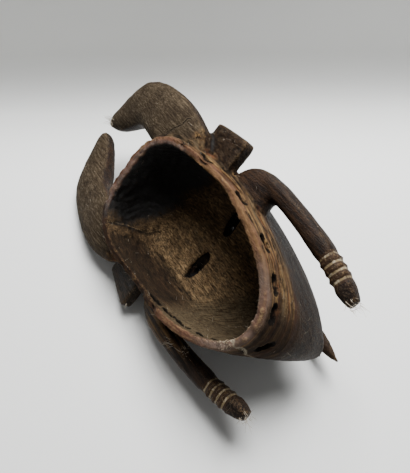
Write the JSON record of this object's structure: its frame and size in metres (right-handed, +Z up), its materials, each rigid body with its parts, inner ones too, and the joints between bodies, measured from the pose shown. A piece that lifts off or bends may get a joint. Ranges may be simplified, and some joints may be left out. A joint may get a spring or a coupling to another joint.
{
  "type": "carved wooden face mask",
  "caption": "Hollow carved wooden face mask with inward-curving horns, side flanges, legs beside the chin, eye slits and a free-hanging beak, lying on its side.",
  "frame": {"origin": "middle of the mask's box, at the height of the surface it lies on", "axes": "+Y along the mask towards its horns, +Z up; the mask lies rolled about 41 degrees on its left side, its hollow turned up and towards -X"},
  "size_m": [0.153, 0.3382, 0.1404],
  "materials": {
    "mask": "worn dark patina over carved wood, raw brown at the rim"
  },
  "bodies": {
    "root": {"mask": "mask"}
  },
  "joints": []
}
